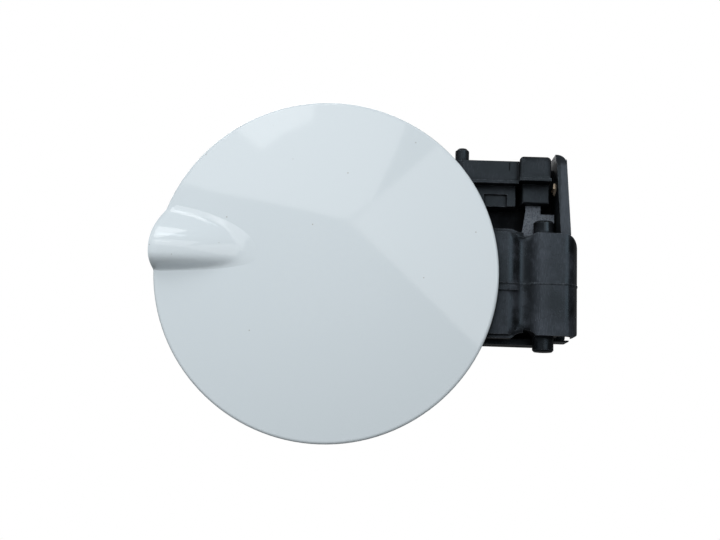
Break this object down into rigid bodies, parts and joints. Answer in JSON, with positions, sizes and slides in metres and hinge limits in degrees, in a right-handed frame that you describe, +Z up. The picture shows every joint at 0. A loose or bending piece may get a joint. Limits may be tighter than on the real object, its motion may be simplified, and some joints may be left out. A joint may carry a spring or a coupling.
{
  "type": "car fuel door",
  "caption": "Round painted fuel door with a moulded finger hood, on a black arm that swings about an upright pin in a moulded carrier with a leaf spring.",
  "frame": {"origin": "on the carrier's rear mounting face, straight behind the middle of the hinge axis", "axes": "+X from the door towards the hinge side, +Y to the back into the car body, +Z up"},
  "size_m": [0.2001, 0.0465, 0.16],
  "materials": {
    "paint": "gloss",
    "arm_plastic": "satin",
    "base_plastic": "satin",
    "pin_steel": "satin",
    "screw_steel": "satin",
    "spring_steel": "dull"
  },
  "bodies": {
    "carrier": {"hinge_base": "base_plastic", "leaf_spring": "spring_steel"},
    "door": {"door_panel": "paint", "hinge_arm": "arm_plastic", "hinge_pin": "pin_steel", "panel_screws": "screw_steel"}
  },
  "joints": [
    {"name": "door_swing", "type": "hinge", "parent": "carrier", "child": "door", "pos_m": [0, -0.02, 0], "axis": [0, 0, 1], "range_deg": [0, 95]}
  ]
}
